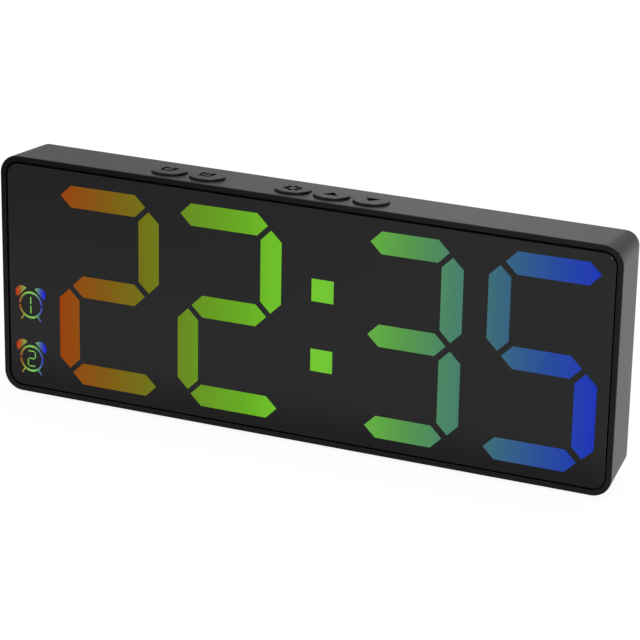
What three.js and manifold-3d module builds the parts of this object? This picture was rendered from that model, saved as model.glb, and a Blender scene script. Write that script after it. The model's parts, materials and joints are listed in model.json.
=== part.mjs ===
// Slim digital alarm clock: a wide dark lens with a lit four-digit display, five round buttons
// on top, a coin cell behind a swinging door at the back, and an upright power socket.
// Millimetres, +Z up, the lens faces -Y and +X is to the right of someone who reads the time.
// The origin is on the table, under the middle of the case.
import * as THREE from 'three';
import { mergeVertices } from 'three/addons/utils/BufferGeometryUtils.js';
import Module from 'manifold-3d';

const wasm = await Module();
wasm.setup();

// Case: an upright rounded box whose four sides draw in towards the back
const caseWidth = 165;
const caseHeight = 63.75;
const caseDepth = 17.5;
const draftInset = 1.6;
const frontCornerRadius = 5.1;
const innerCornerRadius = 1.5;
const caseEdgeRound = 0.45;
const rimWidth = 1.45;
const lensSeatReach = 1.25;
const shelfReach = 3;
const shelfThickness = 1.5;
const rearLip = 1.2;
const coverSeatReach = 0.8;
const overrun = 1;
const weldDepth = 0.4;
const runningGap = 0.3;

// Front stack, from the lens back to the board
const lensRecess = 0.2;
const lensThickness = 1.1;
const lensGap = 0.4;
const lensEdgeRound = 0.15;
const filmThickness = 0.15;
const tapeWidth = 2.2;
const boardThickness = 1.2;
const rearRoom = 9.85;
const moduleTopMargin = 4.45;

// Display: shares of the case's width from its middle, and of its height from its bottom edge
const digitCentreShares = [-0.3155, -0.1127, 0.1755, 0.3848];
const digitStrings = ['2', '2', '3', '5'];
const digitWidthShare = 0.1709;
const digitBottomShare = 0.0725;
const digitHeightShare = 0.8463;
const digitMiddleShare = 0.4965;
const rowStroke = 5.95;
const columnStroke = 5.65;
const tipGap = 1.1;
const longEndReach = 2.3;
const windowWeb = 0.6;
const colonShare = 0.0403;
const colonSize = 5.85;
const colonHeightShares = [0.353, 0.64];
const iconShare = -0.4515;
const iconHeightShares = [0.3812, 0.1506];
const iconWindowWidth = 8.6;
const iconWindowHeight = 9.4;
const iconWindowRadius = 3.6;
const ledLength = 3;
const ledWidth = 1.4;
const ledHeight = 0.8;

// Buttons: two groups, each about a middle that is a share of the case's width
const buttonGroups = [
  { middleShare: -0.1988, names: ['alarm_1', 'alarm_2'] },
  { middleShare: 0.0357, names: ['settings', 'up', 'down'] },
];
const buttonSpacing = 1.5;
const buttonDepthPlace = 6.7;
const buttonDiameter = 8.85;
const buttonGap = 0.15;
const buttonProud = 0.7;
const buttonEdgeRound = 0.25;
const buttonTravel = 0.35;
const flangeSide = 0.3;
const flangeSetback = 2.6;
const flangeReach = 5.7;
const flangeThickness = 0.8;
const switchWidth = 6;
const switchHeight = 4;
const switchThickness = 3.5;
const plungerWidth = 2.8;
const plungerThickness = 1.5;
const plungerShow = 0.95;
const plungerGrip = 1.2;
const plungerGap = 0.25;

// Rear cover, its screws and the slots over the buzzer
const coverThickness = 1.8;
const coverRecess = 0.2;
const coverGap = 0.25;
const coverEdgeRound = 0.2;
const bossInset = 6.2;
const bossRadius = 3;
const pilotRadius = 1.05;
const pilotDepth = 5.6;
const counterboreRadius = 2.3;
const counterboreDepth = 1.1;
const screwHeadRadius = 2;
const screwHeadHeight = 0.9;
const screwShankRadius = 0.85;
const coverShankLength = 5;
const coverHoleRadius = 1.2;
const slotCount = 5;
const slotPitch = 2.6;
const slotWidth = 1.2;
const slotLength = 10;

// Screws that hold the display module to four lugs of the shelf
const lugWidth = 6;
const lugReach = 16.4;
const lugScrewPlace = 13.8;
const lugDigits = [[0, 'bottom'], [1, 'top'], [2, 'bottom'], [3, 'top']];
const moduleHoleRadius = 1.15;
const modulePilotShare = 0.6;
const moduleShankShare = 0.5;

// Coin cell, its tray and the door
const cellRadius = 10;
const cellThickness = 3.2;
const cellStep = 0.5;
const cellCapInset = 1.3;
const cellGap = 0.4;
const trayXShare = 0.206;
const trayZShare = 0.502;
const trayWall = 1.6;
const trayFloor = 1;
const doorWidth = 24;
const doorHeight = 26;
const doorGap = 0.3;
const doorSeatGap = 0.15;
const doorEdgeRound = 0.15;
const hookPlace = 7;
const hookWidth = 4;
const hookArm = 1.5;
const hookToe = 1.2;
const hookDrop = 1.75;
const hookThickness = 1.3;
const hookRoom = 0.8;
const doorRibCount = 4;
const doorRibWidth = 10;
const doorRibHeight = 0.7;
const doorRibPitch = 1.7;
const doorRibProud = 0.15;
const thumbRadius = 5.5;
const thumbDepth = 0.7;
const contactThickness = 0.25;
const contactWidth = 4;
const contactLength = 13;
const contactTail = 1;
const contactSlotGap = 0.35;
const leadRadius = 0.5;

// Parts that stand on the back of the board
const buzzerShares = [-0.06, 0.486];
const buzzerRadius = 6;
const buzzerHeight = 5.5;
const buzzerHoleRadius = 1;
const buzzerHoleDepth = 2.5;
const socketShares = [-0.206, 0.251];
const socketWidth = 9;
const socketThickness = 3.3;
const socketShell = 0.35;
const socketDepth = 6.2;
const socketRecess = 0.5;
const socketGap = 0.4;
const tongueWidth = 6.6;
const tongueThickness = 0.7;
const tongueLength = 4.4;
const controllerShares = [-0.303, 0.627];
const controllerSize = 10;
const controllerHeight = 1.6;
const driverShares = [0.364, 0.376];
const driverWidth = 4;
const driverLength = 9.9;
const driverHeight = 1.5;
const crystalShares = [-0.376, 0.627];
const crystalRadius = 1;
const crystalLength = 6;
const capacitorShares = [-0.4, 0.376];
const capacitorRadius = 3;
const capacitorHeight = 5.4;
const capacitorNeckShare = 0.25;

// Feet
const footDrop = 0.8;
const footLength = 14;
const footWidth = 4.5;
const footSideInset = 18;
const footFrontPlace = 4.8;
const footBackPlace = 13.9;

// Counts of facets
const cornerSegments = 8;
const edgeSegments = 3;
const buttonSegments = 32;
const holeSegments = 12;
const smallSegments = 10;
const leadSegments = 4;

// Sizes that follow from those above; depths run back from the front edge of the case
const lensInset = rimWidth + lensGap;
const filmFront = lensRecess + lensThickness;
const lensSeat = filmFront + filmThickness;
const bayInset = rimWidth + lensSeatReach;
const boardBack = caseDepth - rearRoom;
const boardFront = boardBack - boardThickness;
const maskThickness = boardFront - lensSeat;
const shelfBack = boardBack + shelfThickness;
const shelfInset = bayInset + shelfReach;
const rebateInset = draftInset + rearLip;
const rearBayInset = rebateInset + coverSeatReach;
const coverBack = caseDepth - coverRecess;
const coverSeat = coverBack - coverThickness;
const moduleInset = bayInset + runningGap;
const moduleTop = caseHeight - moduleTopMargin;
const topSlope = draftInset / caseDepth;
const across = (share) => share * caseWidth;
const up = (share) => share * caseHeight;
const digitCentres = digitCentreShares.map(across);
const digitWidth = across(digitWidthShare);
const digitBottom = up(digitBottomShare);
const digitHeight = up(digitHeightShare);
const digitMiddle = up(digitMiddleShare);
const colonX = across(colonShare);
const colonHeights = colonHeightShares.map(up);
const iconX = across(iconShare);
const iconHeights = iconHeightShares.map(up);
const boardPlace = ([xShare, zShare]) => [across(xShare), boardBack, up(zShare)];
const [socketX, , socketZ] = boardPlace(socketShares);
const [buzzerX, , buzzerZ] = boardPlace(buzzerShares);
const trayX = across(trayXShare);
const trayZ = up(trayZShare);
const buttonPitch = buttonDiameter + buttonSpacing;
const buttonRuns = buttonGroups.map(({ middleShare, names }) => names.map((name, i) => (
  { name, x: across(middleShare) + (i - (names.length - 1) / 2) * buttonPitch })));
const buttons = buttonRuns.flat();
const flangeWidth = buttonDiameter + 2 * flangeSide;
const flangeFront = buttonDepthPlace - flangeSetback;
const flangeBack = buttonDepthPlace + flangeReach;
const buttonLevel = caseHeight - topSlope * buttonDepthPlace;
const flangeTop = caseHeight - bayInset - runningGap - buttonLevel;
const flangeBottom = flangeTop - flangeThickness;
const switchTop = flangeBottom - plungerShow;
const switchFront = boardBack - buttonDepthPlace;
const doorBottom = trayZ - doorHeight / 2;
const doorTop = trayZ + doorHeight / 2;
const cellFront = coverSeat - cellThickness + doorSeatGap - runningGap;
const trayFront = cellFront - contactThickness - trayFloor;
const pocketRadius = cellRadius + cellGap;
const doorFront = coverSeat + doorSeatGap;
const segmentHalf = digitWidth / 2 - columnStroke / 2;

// Geometry helpers

function toSolid(geometry) {
  const bare = geometry.index ? geometry.toNonIndexed() : geometry.clone();
  bare.deleteAttribute('normal');
  bare.deleteAttribute('uv');
  const merged = mergeVertices(bare);
  return new wasm.Manifold(new wasm.Mesh({
    numProp: 3,
    vertProperties: new Float32Array(merged.attributes.position.array),
    triVerts: new Uint32Array(merged.index.array),
  }));
}

function toGeometry(solid) {
  const mesh = solid.getMesh();
  const geometry = new THREE.BufferGeometry();
  geometry.setAttribute('position', new THREE.BufferAttribute(mesh.vertProperties, 3));
  geometry.setIndex(new THREE.BufferAttribute(mesh.triVerts, 1));
  geometry.computeVertexNormals();
  return geometry;
}

function join(...geometries) {
  return toGeometry(geometries.map(toSolid).reduce((sum, solid) => sum.add(solid)));
}

function cut(body, ...tools) {
  return toGeometry(tools.map(toSolid).reduce((rest, tool) => rest.subtract(tool), toSolid(body)));
}

// A box between two corners
function box(x0, x1, y0, y1, z0, z1) {
  const geometry = new THREE.BoxGeometry(x1 - x0, y1 - y0, z1 - z0);
  return geometry.translate((x0 + x1) / 2, (y0 + y1) / 2, (z0 + z1) / 2);
}

// A rectangle with round corners, about the middle of its own plane
function roundedShape(width, height, radius) {
  const x = width / 2 - radius;
  const y = height / 2 - radius;
  const shape = new THREE.Shape();
  shape.absarc(x, y, radius, 0, Math.PI / 2);
  shape.absarc(-x, y, radius, Math.PI / 2, Math.PI);
  shape.absarc(-x, -y, radius, Math.PI, 1.5 * Math.PI);
  shape.absarc(x, -y, radius, 1.5 * Math.PI, 2 * Math.PI);
  return shape;
}

// Stands a shape up, so that it faces the front, and gives it a thickness from one depth to another
function plate(shape, front, back, x = 0, z = 0, curveSegments = cornerSegments) {
  const geometry = new THREE.ExtrudeGeometry(shape, {
    depth: back - front, bevelEnabled: false, curveSegments,
  });
  return geometry.rotateX(Math.PI / 2).translate(x, back, z);
}

// A round bar from one depth to another
function rod(radius, front, back, x, z, segments = holeSegments) {
  const geometry = new THREE.CylinderGeometry(radius, radius, back - front, segments);
  return geometry.translate(x, (front + back) / 2, z);
}

// The case's outline, drawn in by an inset on all four sides
function caseShape(inset) {
  const radius = Math.max(frontCornerRadius - inset, innerCornerRadius);
  return roundedShape(caseWidth - 2 * inset, caseHeight - 2 * inset, radius);
}

function caseCavity(inset, front, back) {
  return plate(caseShape(inset), front, back, 0, caseHeight / 2);
}

// Joins rings of equally many points, front to back, into one closed body with flat ends
function loft(rings) {
  const count = rings[0].length;
  const index = [];
  const last = (rings.length - 1) * count;
  rings.slice(1).forEach((_, ring) => {
    for (let j = 0; j < count; j += 1) {
      const a = ring * count + j;
      const b = ring * count + (j + 1) % count;
      index.push(a, a + count, b, b, a + count, b + count);
    }
  });
  for (let j = 1; j < count - 1; j += 1) {
    index.push(0, j, j + 1, last, last + j + 1, last + j);
  }
  const geometry = new THREE.BufferGeometry();
  geometry.setAttribute('position', new THREE.Float32BufferAttribute(rings.flat(2), 3));
  geometry.setIndex(index);
  return geometry;
}

function outlineRing(width, height, radius, depth, middle) {
  const ring = [];
  for (let corner = 0; corner < 4; corner += 1) {
    const cx = (corner % 3 === 0 ? 1 : -1) * (width / 2 - radius);
    const cz = (corner < 2 ? 1 : -1) * (height / 2 - radius);
    for (let step = 0; step <= cornerSegments; step += 1) {
      const angle = (corner + step / cornerSegments) * Math.PI / 2;
      ring.push([cx + radius * Math.cos(angle), depth, middle + cz + radius * Math.sin(angle)]);
    }
  }
  return ring;
}

// The steps of a quarter-round edge: how far along and how far in each one lies
function edgeSteps(round) {
  return Array.from({ length: edgeSegments + 1 }, (_, step) => {
    const angle = step / edgeSegments * Math.PI / 2;
    return [round * (1 - Math.cos(angle)), round * (1 - Math.sin(angle))];
  });
}

// A plate with rounded edges on its back face or on both faces; draft is the inset at each depth
function softPlate(width, height, radius, front, back, x, z, roundFront, roundBack, draft = () => 0) {
  const atFront = roundFront ? edgeSteps(roundFront) : [[0, 0]];
  const atBack = roundBack ? edgeSteps(roundBack) : [[0, 0]];
  const steps = [
    ...atFront.map(([along, inset]) => [front + along, inset]),
    ...atBack.map(([along, inset]) => [back - along, inset]).reverse(),
  ];
  const rings = steps.map(([depth, inset]) => {
    const total = inset + draft(depth);
    return outlineRing(width - 2 * total, height - 2 * total, radius - total, depth, z);
  });
  return loft(rings).translate(x, 0, 0);
}

// Turns a profile of radius and depth about an axis that runs from front to back
function turned(profile, segments = holeSegments) {
  const points = profile.map(([radius, depth]) => new THREE.Vector2(radius, depth));
  return new THREE.LatheGeometry(points, segments);
}

// Tilts level faces so that they follow the sloping top or bottom of the case
function sloped(geometry, slope) {
  const shear = new THREE.Matrix4().set(1, 0, 0, 0, 0, 1, 0, 0, 0, slope, 1, 0, 0, 0, 0, 1);
  return geometry.applyMatrix4(shear);
}

// Scene graph helpers

const paint = (color, roughness, metalness = 0) => (
  new THREE.MeshStandardMaterial({ color, roughness, metalness }));
const caseBlack = paint(0x2b2b2c, 0.55);
const lensBlack = paint(0x161617, 0.12);
const buttonBlack = paint(0x2e2e2f, 0.5);
const maskGrey = paint(0x9a9a98, 0.6);
const filmWhite = paint(0xdedede, 0.7);
const boardGreen = paint(0x1d4a33, 0.5);
const chipBlack = paint(0x1a1a1b, 0.6);
const steel = paint(0xb9bbbd, 0.3, 1);
const brass = paint(0xb59a5c, 0.35, 1);
const rubber = paint(0x1b1b1b, 0.9);
const leadRed = paint(0x8c1f1c, 0.6);
const leadBlack = paint(0x1c1c1c, 0.6);

const clock = new THREE.Group();
clock.name = 'digital_alarm_clock';
const caseFrame = new THREE.Group();
caseFrame.position.set(0, -caseDepth / 2, footDrop);
clock.add(caseFrame);

function place(name, geometry, material, parent = caseFrame, position = [0, 0, 0]) {
  const mesh = new THREE.Mesh(geometry, material);
  mesh.name = name;
  mesh.position.set(...position);
  parent.add(mesh);
  return mesh;
}

// Places of the screws

const coverScrews = [-1, 1].flatMap((side) => [
  [side * (caseWidth / 2 - bossInset), bossInset],
  [side * (caseWidth / 2 - bossInset), caseHeight - bossInset],
]);
const lugs = lugDigits.map(([digit, edge]) => {
  const top = edge === 'top';
  return {
    x: digitCentres[digit],
    z: top ? caseHeight - lugScrewPlace : lugScrewPlace,
    z0: top ? caseHeight - lugReach : bayInset - weldDepth,
    z1: top ? caseHeight - bayInset + weldDepth : lugReach,
  };
});

// Housing: drafted outer shell, lens pocket, display bay, shelf, rear bay and rebate for the cover

function frontHousing() {
  const shell = softPlate(caseWidth, caseHeight, frontCornerRadius, 0, caseDepth, 0, caseHeight / 2,
    caseEdgeRound, caseEdgeRound, (depth) => draftInset * depth / caseDepth);
  const hollow = cut(shell,
    caseCavity(rimWidth, -overrun, lensSeat),
    caseCavity(bayInset, lensSeat - weldDepth, boardBack),
    caseCavity(shelfInset, boardBack - weldDepth, shelfBack + weldDepth),
    caseCavity(rearBayInset, shelfBack, coverSeat + weldDepth),
    caseCavity(rebateInset, coverSeat, caseDepth + overrun));
  const bosses = coverScrews.map(([x, z]) => (
    rod(bossRadius, boardBack + runningGap, coverSeat, x, z, 2 * smallSegments)));
  const lugPlates = lugs.map((lug) => (
    box(lug.x - lugWidth / 2, lug.x + lugWidth / 2, boardBack, shelfBack, lug.z0, lug.z1)));
  const pilots = coverScrews.map(([x, z]) => (
    rod(pilotRadius, coverSeat - pilotDepth, coverSeat + overrun, x, z, smallSegments)));
  const lugHoles = lugs.map((lug) => (
    rod(moduleHoleRadius, boardBack - overrun, shelfBack + overrun, lug.x, lug.z, smallSegments)));
  return cut(join(hollow, ...bosses, ...lugPlates), ...pilots, ...lugHoles,
    ...buttonPockets(), ...buttons.map(buttonHole));
}

// One pocket under the top wall for each run of neighbouring buttons
function buttonPockets() {
  const half = flangeWidth / 2 + runningGap;
  return buttonRuns.map((run) => box(
    run[0].x - half, run[run.length - 1].x + half,
    flangeFront - runningGap, flangeBack + runningGap,
    caseHeight - shelfInset - weldDepth, caseHeight - bayInset));
}

function buttonHole({ x }) {
  const radius = buttonDiameter / 2 + buttonGap;
  const geometry = new THREE.CylinderGeometry(radius, radius, bayInset + 2 * overrun, buttonSegments);
  return geometry.rotateX(Math.PI / 2).translate(x, buttonDepthPlace, caseHeight - bayInset / 2);
}

// Lens, film and tape

function frontLens() {
  return softPlate(caseWidth - 2 * lensInset, caseHeight - 2 * lensInset,
    frontCornerRadius - lensInset, lensRecess, filmFront, 0, caseHeight / 2, lensEdgeRound, 0);
}

function lensTape() {
  return cut(caseCavity(lensInset, filmFront, lensSeat),
    caseCavity(lensInset + tapeWidth, filmFront - overrun, lensSeat + overrun));
}

function diffuserFilm() {
  return caseCavity(lensInset + tapeWidth + runningGap, filmFront, lensSeat);
}

// Display: six-sided windows in a reflector block, and a board with a light under each window

// A segment lying along X from one tip to the other; upright ones swap the two directions
function segmentShape(tip0, tip1, across, stroke, upright) {
  const half = stroke / 2;
  const outline = [
    [tip0, across], [tip0 + half, across + half], [tip1 - half, across + half],
    [tip1, across], [tip1 - half, across - half], [tip0 + half, across - half],
  ];
  const points = outline.map(([along, side]) => (
    upright ? new THREE.Vector2(side, along) : new THREE.Vector2(along, side)));
  return new THREE.Shape(upright ? points.reverse() : points);
}

// Which ends of the top and bottom strokes run out over the corner of a digit
const longEnds = { 2: { top: -1, bottom: 1 }, 3: {}, 5: { top: 1, bottom: -1 } };

function digitSegments(digit) {
  const centre = digitCentres[digit];
  const long = longEnds[digitStrings[digit]];
  const rows = {
    top: digitBottom + digitHeight - rowStroke / 2,
    middle: digitMiddle,
    bottom: digitBottom + rowStroke / 2,
  };
  const horizontals = ['top', 'middle', 'bottom'].map((row) => {
    const reach = (side) => segmentHalf + (long[row] === side ? longEndReach : -tipGap);
    return segmentShape(centre - reach(-1), centre + reach(1), rows[row], rowStroke, false);
  });
  const inset = (row, side) => (long[row] === side ? rowStroke / 2 + windowWeb : tipGap);
  const uprights = [-1, 1].flatMap((side) => [
    segmentShape(rows.middle + tipGap, rows.top - inset('top', side),
      centre + side * segmentHalf, columnStroke, true),
    segmentShape(rows.bottom + inset('bottom', side), rows.middle - tipGap,
      centre + side * segmentHalf, columnStroke, true),
  ]);
  return [...horizontals, ...uprights];
}

const displayShapes = digitCentres.flatMap((_, digit) => digitSegments(digit));

function moduleSlab(front, back) {
  const height = moduleTop - moduleInset;
  const shape = roundedShape(caseWidth - 2 * moduleInset, height, innerCornerRadius);
  return plate(shape, front, back, 0, moduleInset + height / 2);
}

function segmentMask() {
  const front = lensSeat - overrun;
  const back = boardFront + overrun;
  const windows = displayShapes.map((shape) => plate(shape, front, back));
  const colon = colonHeights.map((z) => (
    plate(roundedShape(colonSize, colonSize, windowWeb), front, back, colonX, z, 1)));
  const iconShape = roundedShape(iconWindowWidth, iconWindowHeight, iconWindowRadius);
  const icons = iconHeights.map((z) => plate(iconShape, front, back, iconX, z, edgeSegments));
  const pilotFront = boardFront - maskThickness * modulePilotShare;
  const pilots = lugs.map((lug) => (
    rod(pilotRadius, pilotFront, boardFront + overrun, lug.x, lug.z, smallSegments)));
  return cut(moduleSlab(lensSeat, boardFront), ...windows, ...colon, ...icons, ...pilots);
}

function displayBoard() {
  const lights = displayShapes.map((shape) => {
    const bounds = new THREE.Box2().setFromPoints(shape.getPoints());
    const middle = bounds.getCenter(new THREE.Vector2());
    const size = bounds.getSize(new THREE.Vector2());
    const upright = size.y > size.x;
    return light(middle.x, middle.y, upright ? ledWidth : ledLength, upright ? ledLength : ledWidth);
  });
  const colon = colonHeights.map((z) => light(colonX, z, ledLength, ledWidth));
  const icons = iconHeights.map((z) => light(iconX, z, ledLength, ledWidth));
  const holes = lugs.map((lug) => (
    rod(moduleHoleRadius, boardFront - overrun, boardBack + overrun, lug.x, lug.z, smallSegments)));
  return cut(join(moduleSlab(boardFront, boardBack), ...lights, ...colon, ...icons), ...holes);
}

function light(x, z, width, height) {
  return box(x - width / 2, x + width / 2, boardFront - ledHeight, boardFront + weldDepth,
    z - height / 2, z + height / 2);
}

// Screws: a pan head with a shank that points to the front

function screw(shankLength) {
  const rim = screwHeadHeight / 2;
  return turned([
    [0, -shankLength], [screwShankRadius / 2, -shankLength],
    [screwShankRadius, -shankLength + screwShankRadius], [screwShankRadius, 0],
    [screwHeadRadius, 0], [screwHeadRadius, rim], [screwHeadRadius - rim, screwHeadHeight],
    [0, screwHeadHeight],
  ], smallSegments);
}

// Button parts, about the middle of the button where the top of the case is

function buttonCap() {
  const radius = buttonDiameter / 2;
  const profile = [[0, flangeTop - flangeThickness / 2], [radius, flangeTop - flangeThickness / 2]];
  edgeSteps(buttonEdgeRound).reverse().forEach(([along, inset]) => {
    profile.push([radius - inset, buttonProud - along]);
  });
  profile.push([0, buttonProud]);
  const disc = sloped(turned(profile, buttonSegments).rotateX(Math.PI / 2), -topSlope);
  const flange = box(-flangeWidth / 2, flangeWidth / 2, flangeFront - buttonDepthPlace,
    flangeBack - buttonDepthPlace, flangeBottom, flangeTop);
  return join(disc, flange);
}

function switchBody() {
  const middle = switchFront + switchThickness / 2;
  const slotHalfWidth = plungerWidth / 2 + plungerGap;
  const slotHalfDepth = plungerThickness / 2 + plungerGap;
  const slotBottom = switchTop - plungerGrip - buttonTravel - runningGap;
  return cut(
    box(-switchWidth / 2, switchWidth / 2, switchFront, switchFront + switchThickness,
      switchTop - switchHeight, switchTop),
    box(-slotHalfWidth, slotHalfWidth, middle - slotHalfDepth, middle + slotHalfDepth,
      slotBottom, switchTop + overrun));
}

function switchPlunger() {
  const middle = switchFront + switchThickness / 2;
  return box(-plungerWidth / 2, plungerWidth / 2, middle - plungerThickness / 2,
    middle + plungerThickness / 2, switchTop - plungerGrip, flangeBottom);
}

// Rear cover: a plate that drops into the rebate, with the cell tray moulded to its inner face

function rearCover() {
  const inset = rebateInset + coverGap;
  const height = caseHeight - 2 * inset;
  const sheet = softPlate(caseWidth - 2 * inset, height, frontCornerRadius - inset,
    coverSeat, coverBack, 0, caseHeight / 2, 0, coverEdgeRound);
  const trayHalf = doorWidth / 2 + trayWall;
  const tray = box(trayX - trayHalf, trayX + trayHalf, trayFront, coverSeat + weldDepth,
    doorBottom - hookToe - hookRoom - trayWall, doorTop + trayWall);
  return cut(join(sheet, tray), ...trayCuts(), ...coverHoles());
}

function trayCuts() {
  const pocketFront = cellFront - contactThickness;
  const cellPocket = rod(pocketRadius, pocketFront, coverBack, trayX, trayZ, buttonSegments);
  const doorway = box(trayX - doorWidth / 2, trayX + doorWidth / 2, coverSeat, coverBack + overrun,
    doorBottom, doorTop);
  const reach = coverBack - coverSeat + doorSeatGap + hookDrop + hookRoom;
  const hookPockets = [-1, 1].map((side) => {
    const x = trayX + side * hookPlace;
    const half = hookWidth / 2 + hookRoom / 2;
    return box(x - half, x + half, coverBack - reach, coverSeat + doorSeatGap,
      doorBottom - hookToe - hookRoom, doorBottom + hookToe + 2 * hookArm);
  });
  const slotHalf = contactWidth / 2 + contactSlotGap;
  const tailZ = trayZ + pocketRadius - contactWidth / 2;
  const lowerSlot = box(trayX - slotHalf, trayX + slotHalf, trayFront - overrun, cellFront,
    tailZ - contactSlotGap, tailZ + contactThickness + contactSlotGap);
  const clipX = trayX + cellRadius + runningGap;
  const sideSlot = box(clipX - contactSlotGap, clipX + contactThickness + 2 * contactSlotGap,
    trayFront - overrun, coverSeat + doorSeatGap, trayZ - slotHalf, trayZ + slotHalf);
  return [cellPocket, doorway, ...hookPockets, lowerSlot, sideSlot];
}

function coverHoles() {
  const holes = coverScrews.map(([x, z]) => (
    rod(coverHoleRadius, coverSeat - overrun, coverBack + overrun, x, z, smallSegments)));
  const counterbores = coverScrews.map(([x, z]) => (
    rod(counterboreRadius, coverBack - counterboreDepth, coverBack + overrun, x, z, 2 * smallSegments)));
  const slots = Array.from({ length: slotCount }, (_, i) => {
    const x = buzzerX + (i - (slotCount - 1) / 2) * slotPitch;
    return plate(roundedShape(slotWidth, slotLength, slotWidth / 2), coverSeat - overrun,
      coverBack + overrun, x, buzzerZ, edgeSegments);
  });
  const width = socketWidth + 2 * socketGap;
  const thickness = socketThickness + 2 * socketGap;
  const socketHole = plate(roundedShape(width, thickness, thickness / 2), coverSeat - overrun,
    coverBack + overrun, socketX, socketZ);
  const thumbFront = coverBack - thumbDepth;
  const thumb = rod(thumbRadius, thumbFront, coverBack + overrun, trayX, doorTop, 2 * smallSegments);
  return [...holes, ...counterbores, ...slots, socketHole, thumb];
}

// Door: a flush plate with two hooks under its lower edge and grip ribs near its upper edge

function batteryDoor() {
  const width = doorWidth - 2 * doorGap;
  const height = doorHeight - 2 * doorGap;
  const sheet = softPlate(width, height, doorGap, doorFront, coverBack, trayX, trayZ, 0, doorEdgeRound);
  const hooks = [-1, 1].flatMap((side) => {
    const x0 = trayX + side * hookPlace - hookWidth / 2;
    const x1 = x0 + hookWidth;
    const toeBack = coverSeat - runningGap;
    const toeFront = toeBack - hookThickness;
    const edge = doorBottom + doorGap;
    return [
      box(x0, x1, toeFront, doorFront + weldDepth, edge, edge + hookArm),
      box(x0, x1, toeFront, toeBack, doorBottom - hookToe, edge + hookArm),
    ];
  });
  const ribs = Array.from({ length: doorRibCount }, (_, i) => {
    const z = doorTop - thumbRadius - i * doorRibPitch;
    return box(trayX - doorRibWidth / 2, trayX + doorRibWidth / 2, coverBack - weldDepth,
      coverBack + doorRibProud, z - doorRibHeight / 2, z + doorRibHeight / 2);
  });
  return join(sheet, ...hooks, ...ribs);
}

// Coin cell: the wide cup is towards the door and the smaller cap towards the tray floor

function coinCell() {
  return turned([
    [0, 0], [cellRadius - cellCapInset, 0], [cellRadius - cellCapInset, cellStep],
    [cellRadius, cellStep + cellStep / 2], [cellRadius, cellThickness - cellStep / 2],
    [cellRadius - cellStep / 2, cellThickness], [0, cellThickness],
  ], buttonSegments);
}

function negativeContact() {
  const bottom = trayZ + pocketRadius - contactWidth / 2 - contactLength;
  const floor = cellFront - contactThickness;
  const tailZ = trayZ + pocketRadius - contactWidth / 2;
  const half = contactWidth / 2;
  const top = tailZ + contactThickness;
  const strip = box(-half, half, floor, cellFront, bottom, top);
  const tail = box(-half, half, trayFront - contactTail, cellFront, tailZ, top);
  return join(strip, tail).translate(trayX, 0, 0);
}

// A strip beside the cell, bowed towards it, with its tail through the tray floor
function positiveContact() {
  const front = trayFront - contactTail;
  const back = coverSeat - runningGap;
  const bow = new THREE.QuadraticBezierCurve(
    new THREE.Vector2(contactSlotGap, cellFront),
    new THREE.Vector2(-contactSlotGap, (cellFront + back) / 2),
    new THREE.Vector2(contactSlotGap, back));
  const inner = [new THREE.Vector2(contactSlotGap, front), ...bow.getPoints(smallSegments / 2)];
  const outer = inner.map((point) => new THREE.Vector2(point.x + contactThickness, point.y)).reverse();
  const geometry = new THREE.ExtrudeGeometry(new THREE.Shape([...inner, ...outer]), {
    depth: contactWidth, bevelEnabled: false,
  });
  return geometry.translate(trayX + cellRadius + runningGap, 0, trayZ - contactWidth / 2);
}

// A lead from a contact's tail to the board, along the board's back
function lead(points) {
  const path = new THREE.CatmullRomCurve3(points.map((point) => new THREE.Vector3(...point)));
  const section = new THREE.Shape().absarc(0, 0, leadRadius, 0, 2 * Math.PI);
  return new THREE.ExtrudeGeometry(section, {
    extrudePath: path, steps: smallSegments, curveSegments: leadSegments, bevelEnabled: false,
  });
}

function contactLeads() {
  const level = trayFront - contactTail - runningGap - leadRadius;
  const landed = boardBack + runningGap;
  const tailZ = trayZ + pocketRadius - contactWidth / 2;
  const step = 2 * contactWidth;
  const clipX = trayX + cellRadius + 2 * runningGap;
  const route = (x, z, side) => {
    const landedZ = z - side * contactTail;
    return [
      [x, level, z], [x + side * step / 2, level, landedZ],
      [x + side * step, level, landedZ], [x + side * (step + leadRadius), landed, landedZ],
    ];
  };
  return { negative: lead(route(trayX, tailZ, -1)), positive: lead(route(clipX, trayZ, 1)) };
}

// Parts soldered to the back of the board

function buzzer() {
  const ledge = buzzerRadius / smallSegments;
  return turned([
    [0, 0], [buzzerRadius, 0], [buzzerRadius, buzzerHeight - ledge],
    [buzzerRadius - ledge, buzzerHeight], [buzzerHoleRadius, buzzerHeight],
    [buzzerHoleRadius, buzzerHeight - buzzerHoleDepth], [0, buzzerHeight - buzzerHoleDepth],
  ], 2 * smallSegments);
}

const socketBack = coverBack - socketRecess;

function powerSocket() {
  const outer = plate(roundedShape(socketWidth, socketThickness, socketThickness / 2), boardBack,
    socketBack, socketX, socketZ);
  const bore = socketThickness - 2 * socketShell;
  const inner = plate(roundedShape(socketWidth - 2 * socketShell, bore, bore / 2),
    socketBack - socketDepth, socketBack + overrun, socketX, socketZ);
  return cut(outer, inner);
}

function socketTongue() {
  const floor = socketBack - socketDepth;
  return box(socketX - tongueWidth / 2, socketX + tongueWidth / 2, floor, floor + tongueLength,
    socketZ - tongueThickness / 2, socketZ + tongueThickness / 2);
}

function capacitor() {
  const waist = capacitorRadius / smallSegments;
  const neck = capacitorHeight * capacitorNeckShare;
  return turned([
    [0, 0], [capacitorRadius, 0], [capacitorRadius, neck - waist], [capacitorRadius - waist, neck],
    [capacitorRadius, neck + waist], [capacitorRadius, capacitorHeight - waist],
    [capacitorRadius - waist, capacitorHeight], [0, capacitorHeight],
  ], 2 * smallSegments);
}

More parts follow.
